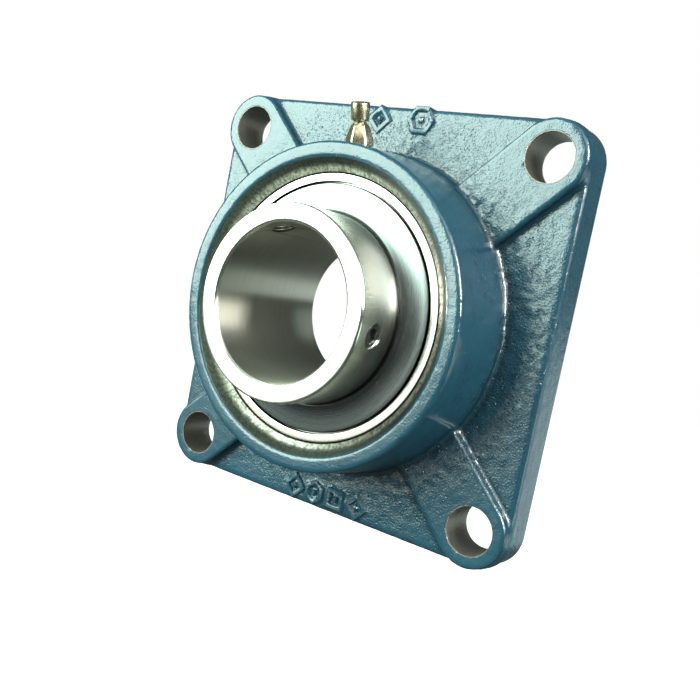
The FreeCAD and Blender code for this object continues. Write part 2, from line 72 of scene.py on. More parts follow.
BALL_PLANE = 29.0
SEAT_RADIUS = 55.05
INSERT_RADIUS = 55.0
OUTER_RING_HALF = 13.5
SHOULDER_RADIUS = 47.2
SEAL_RECESS_RADIUS = 49.8
SEAL_RECESS_DEPTH = 3.8
PITCH_RADIUS = 42.5
GROOVE_RADIUS = 8.2
SHAFT_RADIUS = 30.0
RING_CHAMFER = 1.0
RING_RADIUS = 37.5
RING_BACK = 3.6
RING_FRONT = 68.7
SCREW_RADIUS = 5.0
SCREW_LENGTH = 5.0
SCREW_REST = 1.9
THREAD_PITCH = 1.25
THREAD_PLAY = 0.05
SOCKET_ACROSS = 5.0
SOCKET_DEPTH = 3.4
SCREW_DEPTH = RING_FRONT - 10.5
SCREW_ANGLES = {"setscrew_a": -7.0, "setscrew_b": 113.0}

NIPPLE_DEPTH = 36.0
NIPPLE_SEAT = 65.2
NIPPLE_TILT = math.radians(17)
NIPPLE_SPOT_RADIUS = 6.7
NIPPLE_HOLE_RADIUS = 3.0
NIPPLE_HOLE_SPAN = (-12.0, 1.0)

SEAT_GROOVE_RADIUS = 56.3
SEAT_GROOVE_SPAN = (BALL_PLANE + 3.5, BALL_PLANE + 9.1)
SLOT_CLEARANCE = 0.3
GAP_EDGE = 53.5
SEAT_EDGE = math.sqrt(INSERT_RADIUS**2 - OUTER_RING_HALF**2)

# Roundings of the casting: its outer edges, the fillets where its parts meet, and sharp cuts.
PLATE_EDGE = 2.4
HUB_EDGE = 1.7
ARM_EDGE = 1.2
MARK_EDGE = 0.6
ARM_FILLET = 1.6
MARK_FILLET = 0.8
HUB_FILLET = 1.9
SHARP = 0.02
CUT_BLENDS = {"throat": 0.7, "bolts": 0.4, "back": 1.0, "spot": 0.5}


def to_frame(points):
    """Bearing coordinates in millimetres to the row frame in metres."""
    p = np.asarray(points, dtype=float)
    return np.stack([p[..., 0], -p[..., 2], p[..., 1]], axis=-1) * MM


# ---------------------------------------------------------------- the camera
SENSOR = 36.0
LENS = 44.6297
CAMERA_PLACE = Vector((0.1978, -0.3215, 0.01835))
LOOK = Vector((-0.5383, 0.8374, -0.0943))
ROLL = math.radians(11.23)


def make_camera():
    data = bpy.data.cameras.new("camera")
    data.sensor_width = SENSOR
    data.lens = LENS
    data.clip_start = 0.01
    data.clip_end = 50
    camera = bpy.data.objects.new("camera", data)
    bpy.context.scene.collection.objects.link(camera)
    aim = LOOK.to_track_quat("-Z", "Y")
    roll = Matrix.Rotation(ROLL, 4, "Z")
    camera.matrix_world = Matrix.Translation(CAMERA_PLACE) @ aim.to_matrix().to_4x4() @ roll
    bpy.context.scene.camera = camera


# ---------------------------------------------------------------- smooth noise for cast skin
class Lattice:
    """Smooth noise in three dimensions from a small seeded lattice, about -1 to 1."""

    SIDE = 32

    def __init__(self, seed):
        rng = np.random.default_rng(seed)
        self.values = rng.uniform(-1, 1, (self.SIDE,) * 3)

    def __call__(self, points, size):
        p = np.asarray(points) / size
        base = np.floor(p).astype(int)
        f = p - base
        f = f * f * f * (f * (f * 6 - 15) + 10)
        total = np.zeros(len(p))
        for corner in range(8):
            step = np.array([corner & 1, corner >> 1 & 1, corner >> 2 & 1])
            i, j, k = ((base + step) % self.SIDE).T
            weight = np.prod(np.where(step, f, 1 - f), axis=1)
            total += weight * self.values[i, j, k]
        return total


# ---------------------------------------------------------------- distance fields
def join(a, b, blend):
    """Union of two distance fields with a fillet about as large as blend."""
    near = np.maximum(blend - np.abs(a - b), 0) / blend
    return np.minimum(a, b) - near * near * blend / 4


def meet(a, b, blend):
    """Intersection with a rounded edge."""
    return -join(-a, -b, blend)


def cut(a, b, blend):
    return -join(-a, b, blend)


def cone(radius, depth, low, low_radius, high, high_radius):
    """Distance to the side of a cone about the bore axis."""
    slope = (high_radius - low_radius) / (high - low)
    return (radius - low_radius - (depth - low) * slope) / math.hypot(1, slope)


def slab(depth, low, high):
    return np.maximum(low - depth, depth - high)


def polygon(x, up, centre_x, centre_up, sides, apothem, turn):
    """Distance to a regular polygon on the flange face, turned by that many degrees."""
    facets = [math.radians(turn + 360 * k / sides) for k in range(sides)]
    dx, dup = x - centre_x, up - centre_up
    return np.maximum.reduce([dx * math.cos(a) + dup * math.sin(a) for a in facets]) - apothem


# Plain cast figures where a foundry puts its own: centre x, centre up, sides, apothem, turn.
MARKS = [
    (-7.6, 80.6, 4, 3.3, 45),
    (12.3, 81.6, 6, 4.6, 30),
    (-14.2, -79.9, 4, 3.2, 45),
    (-3.6, -79.9, 6, 3.6, 0),
    (7.4, -79.9, 4, 3.4, 0),
    (18.2, -79.9, 4, 3.2, 45),
]
MARK_HEIGHT = 0.9
MARK_LINE = 2.0


def raised_marks(x, up, depth):
    outlines = [np.abs(polygon(x, up, *mark)) - MARK_LINE / 2 for mark in MARKS]
    outlines += [polygon(x, up, *mark[:3], MARK_LINE / 2, mark[4]) for mark in MARKS]
    return meet(np.minimum.reduce(outlines), depth - PLATE_THICKNESS - MARK_HEIGHT, MARK_EDGE)


def casting(x, up, depth):
    """The painted outside of the housing: plate, arms, hub and raised marks."""
    half = FLANGE_HALF - depth * DRAFT
    corner = CORNER_RADIUS - depth * DRAFT / 2
    qx, qy = np.abs(x) - half + corner, np.abs(up) - half + corner
    outline = (
        np.hypot(np.maximum(qx, 0), np.maximum(qy, 0))
        + np.minimum(np.maximum(qx, qy), 0)
        - corner
    )
    plate = meet(outline, depth - PLATE_THICKNESS, PLATE_EDGE)
    radius = np.hypot(x, up)
    hub_side = cone(radius, depth, 0, HUB_BASE_RADIUS, HUB_HEIGHT, HUB_FRONT_RADIUS)
    hub = meet(hub_side, depth - HUB_HEIGHT, HUB_EDGE)
    arms = []
    for sign in (-1, 1):
        along = np.abs(x + sign * up) / math.sqrt(2)
        across = np.abs(x - sign * up) / math.sqrt(2)
        beyond = np.maximum(along - BOLT_OFFSET * math.sqrt(2), 0)
        side = np.hypot(beyond, across) - ARM_HALF_WIDTH + (depth - PLATE_THICKNESS) * ARM_DRAFT
        arm = meet(side, depth - ARM_HEIGHT, ARM_EDGE)
        arms.append(np.maximum(arm, PLATE_THICKNESS - ARM_ROOT - depth))
    body = join(plate, np.minimum(*arms), ARM_FILLET)
    body = join(body, raised_marks(x, up, depth), MARK_FILLET)
    return join(body, hub, HUB_FILLET)


def hollow(x, up, depth):
    """Everything cut out of the casting, as named fields."""
    radius = np.hypot(x, up)
    lead_front = HUB_HEIGHT - THROAT_DEPTH
    lead_back = BALL_PLANE + OUTER_RING_HALF
    overlap = 0.5
    throat = np.maximum(
        cone(radius, depth, lead_front, THROAT_RADIUS, HUB_HEIGHT, RIM_INNER_RADIUS),
        lead_front - depth,
    )
    lead = np.maximum(
        cone(radius, depth, lead_back, SEAT_EDGE, lead_front, THROAT_RADIUS),
        slab(depth, lead_back - overlap, lead_front + overlap),
    )
    seat = np.sqrt(radius**2 + (depth - BALL_PLANE) ** 2) - SEAT_RADIUS
    back = np.maximum(
        cone(radius, depth, 0, BACK_RECESS_RADIUS, BACK_RECESS_DEPTH, BACK_RECESS_FLOOR_RADIUS),
        depth - BACK_RECESS_DEPTH,
    )
    slots = np.maximum(
        np.maximum(np.abs(up) - OUTER_RING_HALF - SLOT_CLEARANCE, np.abs(x) - SEAT_RADIUS),
        depth - BALL_PLANE,
    )
    groove = np.maximum(radius - SEAT_GROOVE_RADIUS, slab(depth, *SEAT_GROOVE_SPAN))
    corner_x, corner_up = np.abs(x) - BOLT_OFFSET, np.abs(up) - BOLT_OFFSET
    bolts = np.hypot(corner_x, corner_up) - BOLT_HOLE_RADIUS
    along = (up - NIPPLE_SEAT) * math.cos(NIPPLE_TILT)
    along += (depth - NIPPLE_DEPTH) * math.sin(NIPPLE_TILT)
    side = (depth - NIPPLE_DEPTH) * math.cos(NIPPLE_TILT)
    side -= (up - NIPPLE_SEAT) * math.sin(NIPPLE_TILT)
    off_axis = np.hypot(x, side)
    spot = np.maximum(off_axis - NIPPLE_SPOT_RADIUS, -along)
    nipple_hole = np.maximum(off_axis - NIPPLE_HOLE_RADIUS, slab(along, *NIPPLE_HOLE_SPAN))
    return {
        "throat": throat,
        "lead": lead,
        "seat": seat,
        "back": back,
        "slots": slots,
        "groove": groove,
        "bolts": bolts,
        "spot": spot,
        "nipple_hole": nipple_hole,
    }


def housing_field(p):
    x, up, depth = p[:, 0], p[:, 1], p[:, 2]
    solid = casting(x, up, depth)
    for name, field in hollow(x, up, depth).items():
        solid = cut(solid, field, CUT_BLENDS.get(name, SHARP))
    return np.maximum(solid, -depth)


def gradient(field, points, step=0.02):
    """Unit vectors out of the surface, from the field at a small step either side."""
    slopes = []
    for axis in range(3):
        shift = np.zeros(3)
        shift[axis] = step
        slopes.append(field(points + shift) - field(points - shift))
    g = np.stack(slopes, axis=1)
    return g / np.maximum(np.linalg.norm(g, axis=1, keepdims=True), 1e-9)


PAIRS = [(r, s) for r in range(3) for s in range(r, 3)]
# Columns of the sums kept for each grid cell: products of the normals, normal times distance,
# places and the number of crossings.
PLANES, PLACES, COUNT = slice(6, 9), slice(9, 12), 12
COLUMNS = 13
PULL = 0.05


def sample_grid(field, axes):
    values = np.empty([len(a) for a in axes])
    yy, zz = np.meshgrid(axes[1], axes[2], indexing="ij")
    for i, x in enumerate(axes[0]):
        plane = np.stack([np.full(yy.size, x), yy.ravel(), zz.ravel()], axis=1)
        values[i] = field(plane).reshape(yy.shape)
    return values


def crossing(field, start, step, cell, a, b):
    """Where the field passes zero on grid edges with the values a and b at their ends."""
    t = a / (a - b)
    for _ in range(3):
        m = field(start + np.outer(t, step) * cell)
        same = np.sign(m) == np.sign(a)
        t_a, v_a = np.where(same, t, 0.0), np.where(same, m, a)
        t_b, v_b = np.where(same, 1.0, t), np.where(same, b, m)
        t = t_a + (t_b - t_a) * v_a / (v_a - v_b + 1e-12)
    return start + np.outer(np.clip(t, 0, 1), step) * cell


def tangent_planes(point, normal):
    """One row of columns to add up for each crossing."""
    rows = np.empty((len(point), COLUMNS))
    distance = np.einsum("ij,ij->i", normal, point)
    for k, (r, s) in enumerate(PAIRS):
        rows[:, k] = normal[:, r] * normal[:, s]
    rows[:, PLANES] = normal * distance[:, None]
    rows[:, PLACES] = point
    rows[:, COUNT] = 1
    return rows


def cell_vertices(sums, corner, cell):
    """One vertex in each cell, where its tangent planes meet, pulled a little to their middle."""
    centre = sums[:, PLACES] / sums[:, COUNT:]
    full = np.empty((len(sums), 3, 3))
    for k, (r, s) in enumerate(PAIRS):
        full[:, r, s] = full[:, s, r] = sums[:, k]
    system = full + np.eye(3) * PULL
    target = sums[:, PLANES] - np.einsum("nij,nj->ni", full, centre)
    move = np.linalg.solve(system, target[..., None])[..., 0]
    return np.clip(centre + move, corner, corner + cell)


def contour(field, low, high, cell):
    """Mesh of the zero surface of a distance field, with its sharp edges kept.

    Each grid cell that the surface crosses gets one vertex, placed where the tangent planes at
    the crossings of its edges meet.  Each crossed grid edge gives one quad.
    """
    low = np.array(low, float)
    count = np.ceil((np.array(high) - low) / cell).astype(int) + 1
    values = sample_grid(field, [low[a] + cell * np.arange(count[a]) for a in range(3)])
    inside = values < 0
    cells = count - 1
    strides = np.array([cells[1] * cells[2], cells[2], 1])
    sums = np.zeros((int(np.prod(cells)), COLUMNS))
    quads = []
    for axis in range(3):
        near = [slice(None)] * 3
        far = [slice(None)] * 3
        near[axis], far[axis] = slice(0, -1), slice(1, None)
        crossed = np.argwhere(inside[tuple(near)] != inside[tuple(far)])
        step = np.eye(3, dtype=int)[axis]
        a = values[tuple(crossed.T)]
        b = values[tuple((crossed + step).T)]
        point = crossing(field, low + crossed * cell, step, cell, a, b)
        rows = tangent_planes(point, gradient(field, point))
        first, second = [k for k in range(3) if k != axis]
        corners = []
        for du, dv in ((0, 0), (-1, 0), (-1, -1), (0, -1)):
            c = crossed.copy()
            c[:, first] += du
            c[:, second] += dv
            corners.append(c @ strides)
        for index in corners:
            for column in range(COLUMNS):
                sums[:, column] += np.bincount(index, rows[:, column], len(sums))
        quad = np.stack(corners, axis=1)
        flip = (a < 0) == (axis != 1)
        quad[~flip] = quad[~flip][:, ::-1]
        quads.append(quad)
    used = np.flatnonzero(sums[:, COUNT] > 0)
    order = np.full(len(sums), -1, int)
    order[used] = np.arange(len(used))
    home = np.stack([used // strides[0], used % strides[0] // strides[1], used % strides[1]], 1)
    vertices = cell_vertices(sums[used], low + home * cell, cell)
    return vertices, order[np.concatenate(quads)]


def new_mesh(name, vertices, faces, smooth_angle=None):
    mesh = bpy.data.meshes.new(name)
    mesh.from_pydata([tuple(v) for v in vertices], [], [tuple(f) for f in faces])
    mesh.update()
    obj = bpy.data.objects.new(name, mesh)
    bpy.context.scene.collection.objects.link(obj)
    if smooth_angle is not None:
        mesh.shade_smooth()
        mesh.set_sharp_from_angle(angle=math.radians(smooth_angle))
    return obj


def keep_attribute(mesh, name, values):
    layer = mesh.attributes.new(name, "FLOAT", "POINT")
    layer.data.foreach_set("value", np.asarray(values, dtype=np.float32))


def dress(obj, body, node, material):
    """Puts the piece on the body it rides on, hides the CAD part it takes the place of, and gives it
    its material.
    """
    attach(obj, body)
    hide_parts(node)
    obj.data.materials.clear()
    obj.data.materials.append(material)


# ---------------------------------------------------------------- turned pieces
def arc_corners(outline, steps=4):
    """Rounds each (radius, depth, rounding) corner of an outline with a small arc."""
    points = []
    count = len(outline)
    for i, (r, d, rounding) in enumerate(outline):
        here = np.array([r, d], float)
        if rounding <= 0:
            points.append(here)
            continue
        before = np.array(outline[i - 1][:2]) - here
        after = np.array(outline[(i + 1) % count][:2]) - here
        a, b = np.linalg.norm(before), np.linalg.norm(after)
        reach = min(rounding, a * 0.49, b * 0.49)
        start, end = here + before / a * reach, here + after / b * reach
        for k in range(steps + 1):
            t = k / steps
            points.append((1 - t) ** 2 * start + 2 * t * (1 - t) * here + t * t * end)
    return points


def turned_points(rim, segments):
    """The (radius, depth) points of an outline at every step round the bore axis."""
    angles = np.arange(segments) * 2 * math.pi / segments
    x = np.cos(angles)[:, None] * rim[:, 0]
    up = np.sin(angles)[:, None] * rim[:, 0]
    depth = np.broadcast_to(rim[:, 1], x.shape)
    return np.stack([x, up, depth], axis=-1).reshape(-1, 3)


def ring_faces(segments, count):
    """Quads between neighbouring copies of a closed outline of count points."""
    k, j = np.meshgrid(np.arange(segments), np.arange(count), indexing="ij")
    k, j = k.ravel(), j.ravel()
    k2, j2 = (k + 1) % segments, (j + 1) % count
    return np.stack([k * count + j, k2 * count + j, k2 * count + j2, k * count + j2], axis=1)


def lathe(name, points, segments, smooth_angle=38):
    """Closed outline of (radius, depth) points turned about the bore axis."""
    rim = np.array(points)
    faces = ring_faces(segments, len(rim))
    area = 0.5 * np.sum(rim[:, 0] * np.roll(rim[:, 1], -1) - np.roll(rim[:, 0], -1) * rim[:, 1])
    if area > 0:
        faces = faces[:, ::-1]
    return new_mesh(name, to_frame(turned_points(rim, segments)), faces, smooth_angle)


def arc(radius, centre_r, centre_d, start, end, steps):
    """Points on a circle in the outline plane; degrees from the radius toward the nose."""
    angles = np.radians(np.linspace(start, end, steps))
    return [
        (centre_r + radius * math.cos(a), centre_d + radius * math.sin(a), 0) for a in angles
    ]


def subtract(obj, cutters, smooth_angle=38):
    """Takes the cutters out of obj and keeps only the result."""
    for cutter in cutters:
        modifier = obj.modifiers.new("cut", "BOOLEAN")
        modifier.operation = "DIFFERENCE"
        modifier.solver = "EXACT"
        modifier.object = cutter
    graph = bpy.context.evaluated_depsgraph_get()
    graph.update()
    result = bpy.data.meshes.new_from_object(obj.evaluated_get(graph))
    obj.modifiers.clear()
    obj.data = result
    for cutter in cutters:
        bpy.data.objects.remove(cutter)
    result.shade_smooth()
    result.set_sharp_from_angle(angle=math.radians(smooth_angle))
    return obj


def along_radius(angle, depth):
    """Placement whose local depth axis is a radius of the bore, starting at the bore axis."""
    c, s = math.cos(math.radians(angle)), math.sin(math.radians(angle))

    def place(points):
        p = np.asarray(points, float)
        x = p[..., 2] * c - p[..., 0] * s
        up = p[..., 2] * s + p[..., 0] * c
        return to_frame(np.stack([x, up, p[..., 1] + depth], axis=-1))

    return place


def thread_outline(radius, low, high, pitch, ridge):
    """Outline of a threaded rod, with the ridges as plain grooves all round."""
    turns = int((high - low) / pitch)
    start = (low + high - turns * pitch) / 2
    points = [(0.0, low), (radius, low)]
    for k in range(turns):
        base = start + k * pitch
        points += [(radius, base + 0.1 * pitch), (radius - ridge, base + 0.45 * pitch)]
        points += [(radius - ridge, base + 0.55 * pitch), (radius, base + 0.9 * pitch)]
    points += [(radius, high), (0.0, high)]
    return points


def capped_lathe(name, points, segments, place):
    """Outline that starts and ends on the axis, turned into a solid with two poles."""
    rim = np.array(points)[1:-1]
    n = len(rim)
    vertices = [tuple(v) for v in turned_points(rim, segments)]
    first, last = len(vertices), len(vertices) + 1
    vertices += [(0, 0, points[0][1]), (0, 0, points[-1][1])]
    faces = []
    for k in range(segments):
        k2 = (k + 1) % segments
        faces.append((first, k2 * n, k * n))
        faces.append((last, k * n + n - 1, k2 * n + n - 1))
        for j in range(n - 1):
            faces.append((k * n + j, k2 * n + j, k2 * n + j + 1, k * n + j + 1))
    return new_mesh(name, place(vertices), faces, smooth_angle=30)


# ---------------------------------------------------------------- colours
def rgb(r, g, b):
    return (r, g, b, 1.0)


PAINT = rgb(0.0160, 0.067, 0.104)
PAINT_LIGHT = rgb(0.0200, 0.078, 0.116)
# Dark enamel for pits, specks and patches, also used as painted shade in creases and hollows.
PAINT_DEEP_AND_SHADE = rgb(0.006, 0.023, 0.036)
IRON_LIGHT = rgb(0.53, 0.53, 0.46)
IRON_DARK = rgb(0.15, 0.165, 0.13)
IRON_PIT = rgb(0.07, 0.06, 0.045)
IRON_HOLE_WALL = rgb(0.17, 0.155, 0.135)
# Near-black painted shade for the throat in front of the insert.
IRON_THROAT_SHADE = rgb(0.026, 0.034, 0.028)
# Near-black painted shade for the gap round the insert.
IRON_GAP_SHADE = rgb(0.01, 0.01, 0.01)
# Painted shade for steel faces: near their inner edge, and as dark lines where they meet the next
# parts.
STEEL_ROOT_SHADE = rgb(0.06, 0.065, 0.06)
STEEL_GAP_SHADE = rgb(0.012, 0.012, 0.012)
RING_FACE = (rgb(0.64, 0.63, 0.57), rgb(0.72, 0.71, 0.65))
RING_BORE = (rgb(0.40, 0.395, 0.34), rgb(0.46, 0.455, 0.395))
OUTER_RING = (rgb(0.64, 0.63, 0.57), rgb(0.78, 0.77, 0.70))
SLINGER = (rgb(0.33, 0.37, 0.37), rgb(0.38, 0.42, 0.42))
PRESSED = (rgb(0.40, 0.39, 0.36), rgb(0.55, 0.54, 0.50))
BALLS = (rgb(0.66, 0.66, 0.65), rgb(0.72, 0.72, 0.71))
SCREW = (rgb(0.05, 0.05, 0.05), rgb(0.16, 0.16, 0.15))
BRASS = (rgb(0.34, 0.30, 0.185), rgb(0.52, 0.48, 0.345))
BRASS_TARNISH = rgb(0.24, 0.14, 0.045)
RUBBER = (rgb(0.012, 0.012, 0.013), rgb(0.03, 0.03, 0.032))


# ---------------------------------------------------------------- materials
class Shader:
    """A Principled material whose nodes are added in short lines."""

    def __init__(self, name, **values):
        self.material = bpy.data.materials.new(name)
        self.material.use_nodes = True
        self.tree = self.material.node_tree
        self.tree.nodes.clear()
        self.surface = self.add("BsdfPrincipled", values)
        output = self.add("OutputMaterial")
        self.tree.links.new(self.surface.outputs[0], output.inputs[0])
        coordinates = self.add("TexCoord").outputs["Object"]
        # mm: the place on the part in the row frame, in millimetres
        self.mm = self.add(
            "VectorMath", {0: coordinates, 1: (1000.0, 1000.0, 1000.0)}, operation="MULTIPLY"
        ).outputs[0]

    def add(self, kind, inputs=None, **settings):
        node = self.tree.nodes.new("ShaderNode" + kind)
        for key, value in settings.items():
            setattr(node, key, value)
        for key, value in (inputs or {}).items():
            socket = node.inputs[key.replace("_", " ") if isinstance(key, str) else key]
            if isinstance(value, bpy.types.NodeSocket):
                self.tree.links.new(value, socket)
            else:
                socket.default_value = value
        return node

    def drive(self, **sockets):
        for key, value in sockets.items():
            self.tree.links.new(value, self.surface.inputs[key.replace("_", " ")])

    def noise(self, size, detail=3.0, roughness=0.55, vector=None):
        """Cloud noise whose features are about that many millimetres, 0 to 1."""
        node = self.add(
            "TexNoise",
            {"Vector": vector or self.mm, "Scale": 1 / size, "Detail": detail,
             "Roughness": roughness},
        )
        return node.outputs[0]

    def cells(self, size):
        """Distance to scattered spots about that many millimetres apart, 0 at each spot."""
        return self.add("TexVoronoi", {"Vector": self.mm, "Scale": 1 / size}).outputs["Distance"]

    def math(self, operation, a, b=0.0):
        return self.add("Math", {0: a, 1: b}, operation=operation).outputs[0]

    def fit(self, value, low, high, to_low=0.0, to_high=1.0, smooth=True):
        """The range low to high moved to the range to_low to to_high, and held there outside."""
        node = self.add(
            "MapRange",
            {0: value, 1: low, 2: high, 3: to_low, 4: to_high},
            interpolation_type="SMOOTHSTEP" if smooth else "LINEAR",
        )
        return node.outputs[0]

    def mix(self, factor, a, b):
        node = self.add("Mix", {0: factor, 6: a, 7: b}, data_type="RGBA")
        return node.outputs[2]

    def blend(self, factor, a, b):
        return self.add("Mix", {0: factor, 2: a, 3: b}, data_type="FLOAT").outputs[0]

    def attribute(self, name):
        return self.add("Attribute", attribute_name=name).outputs["Fac"]

    def bump(self, height, distance_mm, strength=1.0):
        inputs = {"Height": height, "Distance": distance_mm * MM, "Strength": strength}
        return self.add("Bump", inputs).outputs[0]

    def stretch(self, line, across, around):
        """Turned coordinates with their noise squeezed or drawn out round the axis."""
        scale = (across, around, around)
        return self.add("VectorMath", {0: line, 1: scale}, operation="MULTIPLY").outputs[0]

    def ground(self):
        """Marks run round the bore axis, so that highlights spread across them."""
        self.surface.inputs["Anisotropic"].default_value = 0.9
        self.surface.inputs["Anisotropic Rotation"].default_value = 0.25
        tangent = self.add("Tangent", direction_type="RADIAL", axis="Y").outputs[0]
        self.tree.links.new(tangent, self.surface.inputs["Tangent"])

    def turned(self):
        """Coordinates that hardly change round the bore axis, for lathe and grinding marks."""
        parts = self.add("SeparateXYZ", {0: self.mm})
        x, y, z = parts.outputs
        depth_share = 1.13
        flat = self.add("CombineXYZ", {0: x, 2: z}).outputs[0]
        radius = self.add("VectorMath", {0: flat}, operation="LENGTH").outputs["Value"]
        around = self.add("VectorMath", {0: flat}, operation="NORMALIZE").outputs[0]
        arc_parts = self.add("SeparateXYZ", {0: around})
        line = self.add(
            "CombineXYZ",
            {0: self.math("ADD", radius, self.math("MULTIPLY", y, depth_share)),
             1: arc_parts.outputs[0], 2: arc_parts.outputs[2]},
        ).outputs[0]
        return line, radius, y


def enamel_on_iron():
    """Glossy enamel brushed over sand-cast iron; bare iron where the machining took it off."""
    s = Shader("enamel_on_cast_iron", Roughness=0.3, IOR=1.5, Coat_Roughness=0.15)
    ragged = s.fit(s.noise(1.6), 0, 1, -0.2, 0.2, smooth=False)
    bare_edge = s.math("ADD", s.attribute("bare"), ragged)
    bare = s.fit(bare_edge, 0.42, 0.58)
    grain = s.attribute("grain")

    # Clouds, lumps, pits and drops in the enamel, by their size in millimetres.
    broad = s.noise(26, 2)
    patch = s.noise(6, 3)
    mottle = s.noise(2.6, 2)
    sand = s.noise(0.72, 2, 0.5)
    fine = s.noise(0.4, 2, 0.5)
    pit_here = s.math("MULTIPLY", s.fit(s.noise(7, 2), 0.42, 0.6), grain)
    pits = s.blend(pit_here, 1.0, s.fit(s.cells(1.9), 0.14, 0.36))
    speck_here = s.math("MULTIPLY", s.fit(s.noise(5, 2), 0.46, 0.56), s.fit(grain, 0.35, 0.8))
    specks = s.blend(speck_here, 1.0, s.fit(s.cells(1.25), 0.16, 0.3))
    drops = s.fit(s.cells(0.85), 0.1, 0.6, 1.0, 0.0)

    colour = s.mix(s.fit(broad, 0.3, 0.7), PAINT, PAINT_LIGHT)
    # Darker enamel in random patches, pits and specks, and painted shade in the creases and hollows
    # of the casting.
    darkening_and_shade = [
        s.fit(patch, 0.45, 0.8, 0.0, 0.35),
        s.fit(pits, 0, 1, 0.8, 0.0),
        s.fit(specks, 0, 1, 0.95, 0.0),
        s.fit(s.attribute("crease_shade"), 0.1, 0.75, 0.0, 0.85),
    ]
    for amount in darkening_and_shade:
        colour = s.mix(amount, colour, PAINT_DEEP_AND_SHADE)

    # Height of the skin, as shares of skin_depth in millimetres.
    skin_depth = 0.12
    rough = s.math("ADD", s.math("MULTIPLY", sand, 1.3), s.math("MULTIPLY", drops, 0.9))
    height = s.math("MULTIPLY", rough, grain)
    layers = [(pits, 1.5), (specks, 1.6), (fine, 0.06), (mottle, 0.3), (patch, 0.3)]
    for layer, share in layers:
        height = s.math("ADD", height, s.math("MULTIPLY", layer, share))

    line, radius, _ = s.turned()
    lathe_lines = s.noise(0.3, 2, 0.6, s.stretch(line, 1, 14))
    height = s.blend(bare, height, s.math("ADD", s.math("MULTIPLY", lathe_lines, 0.3), 0.9))

    # Bare iron, darker in its pits and on the bolt-hole walls, with painted shade in the gap round
    # the insert and in the throat in front of it.
    wall = s.attribute("wall")
    iron = s.mix(s.fit(lathe_lines, 0.3, 0.7), IRON_DARK, IRON_LIGHT)
    iron = s.mix(s.fit(s.noise(0.7, 3), 0.5, 0.75, 0, 0.6), iron, IRON_PIT)
    iron = s.mix(s.fit(wall, 0.3, 0.7, 0.0, 0.8), iron, IRON_HOLE_WALL)
    # Painted shade: a near-black line on the iron where it meets the outer ring.
    iron = s.mix(s.fit(radius, GAP_EDGE, GAP_EDGE + 0.25, 0.95, 0.0), iron, IRON_GAP_SHADE)
    # Painted shade: the throat darkens to near-black outward from its foot to the rim.
    throat_shade = s.fit(radius, THROAT_RADIUS - 0.9, THROAT_RADIUS + 1.3, 0.0, 0.9)
    onto_rim = s.fit(radius, RIM_INNER_RADIUS, RIM_INNER_RADIUS + 1, 1.0, 0.0)
    iron = s.mix(s.math("MULTIPLY", throat_shade, onto_rim), iron, IRON_THROAT_SHADE)

    s.drive(
        Base_Color=s.mix(bare, colour, iron),
        Metallic=s.math("MULTIPLY", bare, s.fit(wall, 0.3, 0.7, 0.9, 0.6)),
        Coat_Weight=s.math("MULTIPLY", s.fit(bare, 0, 1, 0.4, 0.0, smooth=False), specks),
        Roughness=s.blend(bare, s.fit(patch, 0.3, 0.7, 0.14, 0.24, smooth=False), 0.45),
        Normal=s.bump(height, skin_depth),
    )
    return s.material


def steel(
    name, tones, roughness, line_size=0.12, relief=0.0012, stain=0.25, shaded_gaps=None, root_shade=0.0
):
    """Ground or turned steel with marks round the bore axis.

    The two gap radii mark a face whose inner and outer edges get painted shade, as dark lines
    where it meets the next parts; root_shade paints shade on it that fades outward from the inner
    one.
    """
    dark, light = tones
    s = Shader(name, Metallic=1.0, IOR=2.5)
    line, radius, _ = s.turned()
    drawn_out = s.stretch(line, 1, 0.4)
    fine = s.noise(line_size, 2, 0.6, drawn_out)
    broad = s.noise(line_size * 9, 3, 0.5, drawn_out)
    cloud = s.noise(11, 3)
    tone = s.math("ADD", s.math("MULTIPLY", fine, 0.45), s.math("MULTIPLY", broad, 0.55))
    colour = s.mix(s.fit(tone, 0.3, 0.7), dark, light)
    colour = s.mix(s.fit(cloud, 0.45, 0.75, 0.0, stain), colour, dark)
    if shaded_gaps:
        inner, outer = shaded_gaps
        soft = 0.1
        # Painted shade: darker steel near the inner edge, and near-black lines at both edges where
        # the face meets the next parts.
        painted_root_shade = s.fit(radius, inner + 0.4, inner + 6.5, root_shade, 0.0)
        colour = s.mix(painted_root_shade, colour, STEEL_ROOT_SHADE)
        inside = s.fit(radius, inner - soft, inner + soft, 1.0, 0.0)
        outside = s.fit(radius, outer - soft, outer + soft)
        colour = s.mix(s.math("MAXIMUM", inside, outside), colour, STEEL_GAP_SHADE)
    s.drive(
        Base_Color=colour,
        Roughness=s.fit(tone, 0.25, 0.75, roughness * 0.93, roughness * 1.08, smooth=False),
        Normal=s.bump(fine, relief),
    )
    return s.material


def ring_steel():
    """Inner ring: bright ground faces and outside, and a darker, duller honed bore."""
    s = Shader("inner_ring_steel", Metallic=1.0, IOR=2.5)
    s.ground()
    line, radius, y = s.turned()
    drawn_out = s.stretch(line, 1, 0.4)
    fine = s.noise(0.12, 2, 0.6, drawn_out)
    broad = s.noise(1.3, 3, 0.55, drawn_out)
    tone = s.math("ADD", s.math("MULTIPLY", fine, 0.5), s.math("MULTIPLY", broad, 0.5))
    face = s.mix(s.fit(tone, 0.3, 0.7), *RING_FACE)
    honed = s.mix(s.fit(tone, 0.3, 0.7), *RING_BORE)
    in_bore = s.fit(radius, SHAFT_RADIUS + 0.2, SHAFT_RADIUS + 0.9, 1.0, 0.0)
    bore_roughness = s.math("MULTIPLY", in_bore, s.fit(y, 46, 66, 0.135, 0.33))
    s.drive(
        Base_Color=s.mix(in_bore, face, honed),
        Roughness=s.math("ADD", s.fit(tone, 0.25, 0.75, 0.185, 0.205, smooth=False), bore_roughness),
        Normal=s.bump(fine, 0.0005),
    )
    return s.material


